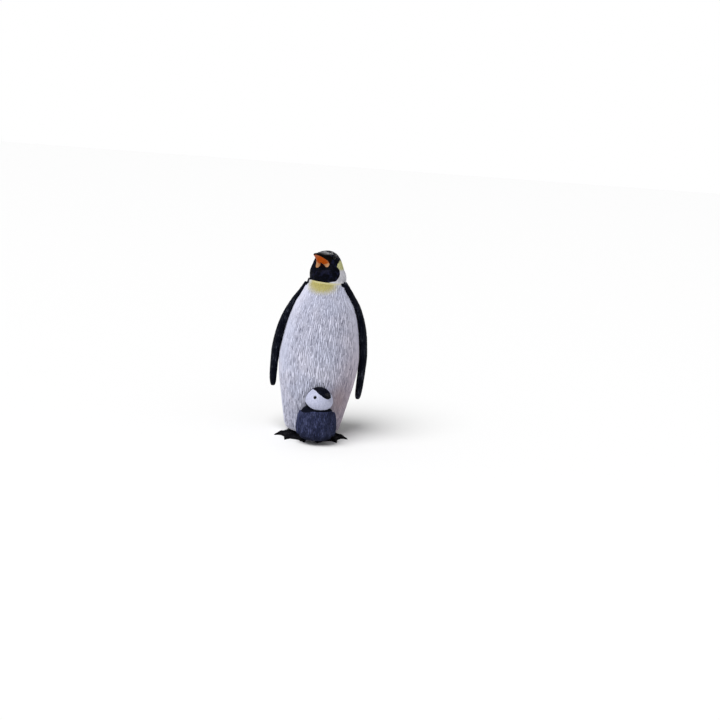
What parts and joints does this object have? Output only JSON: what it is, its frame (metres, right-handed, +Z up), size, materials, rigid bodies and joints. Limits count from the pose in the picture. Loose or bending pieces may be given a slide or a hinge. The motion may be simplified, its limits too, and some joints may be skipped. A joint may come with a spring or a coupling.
{
  "type": "penguin and chick figurine",
  "caption": "Small painted vinyl figurine of a standing adult penguin with its head turned and beak raised, and its chick standing on its feet against the belly.",
  "frame": {"origin": "middle of the footprint, on the ground that the soles rest on", "axes": "+Z up, and the figure faces -Y, so the adult's own left side is at +X"},
  "size_m": [0.0396, 0.0414, 0.0764],
  "materials": {
    "belly_paint": "white paint with a grey wash in the feather grooves, matt",
    "back_paint": "black paint over feather relief, matt",
    "head_paint": "black hood, yellow ear patches and orange beak plates, satin",
    "flipper_paint": "black paint with dry brushed grey, matt",
    "foot_paint": "black paint over scales, satin",
    "chick_down": "slate grey paint over fine down, matt",
    "chick_face": "white face with a black cap, eyes and beak, matt"
  },
  "bodies": {
    "root": {"torso_front": "belly_paint", "torso_back": "back_paint", "head": "head_paint", "flipper_left": "flipper_paint", "flipper_right": "flipper_paint", "foot_left": "foot_paint", "foot_right": "foot_paint", "tail": "back_paint", "chick_body": "chick_down", "chick_head": "chick_face"}
  },
  "joints": []
}
